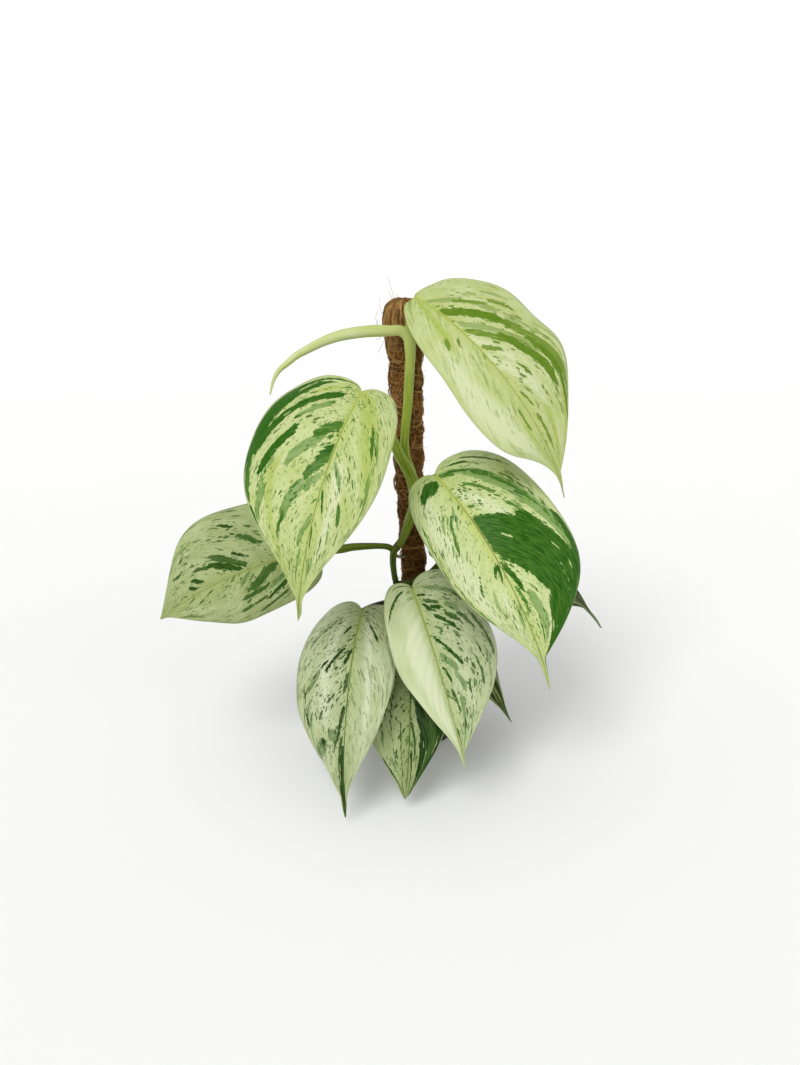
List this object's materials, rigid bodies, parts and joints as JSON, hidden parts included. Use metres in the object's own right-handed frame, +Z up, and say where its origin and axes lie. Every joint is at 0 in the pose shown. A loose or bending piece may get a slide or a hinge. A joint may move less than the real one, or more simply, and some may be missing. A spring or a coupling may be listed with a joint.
{
  "type": "potted variegated scindapsus",
  "caption": "Climbing aroid with heart-shaped, drip-tipped cream and green marbled leaves on a leaning coir pole, standing in a plain tapered nursery pot.",
  "frame": {"origin": "middle of the flat base of the pot, on the surface that the pot stands on", "axes": "+Z up, -Y toward the front of the plant, where its leaves face, +X to the viewer's right from the front"},
  "size_m": [0.2819, 0.1719, 0.3058],
  "materials": {
    "pot_plastic": "matt moulded plastic",
    "potting_mix": "damp, crumbly bark and peat",
    "coir": "coarse matted fibre",
    "green_stem": "smooth fleshy stem, satin",
    "new_leaf": "smooth rolled young leaf, satin",
    "variegated_leaf": "leathery satin, cream marbled with dark green"
  },
  "bodies": {
    "root": {"pot": "pot_plastic", "potting_mix": "potting_mix", "coir_pole": "coir", "vine_and_stalks": "green_stem", "new_rolled_leaf": "new_leaf", "leaf_top_right": "variegated_leaf", "leaf_upper_left": "variegated_leaf", "leaf_middle_right": "variegated_leaf", "leaf_far_left": "variegated_leaf", "leaf_lower_left": "variegated_leaf", "leaf_lower_front": "variegated_leaf", "leaf_lowest": "variegated_leaf", "leaf_back_right": "variegated_leaf", "leaf_lower_right": "variegated_leaf"}
  },
  "joints": []
}
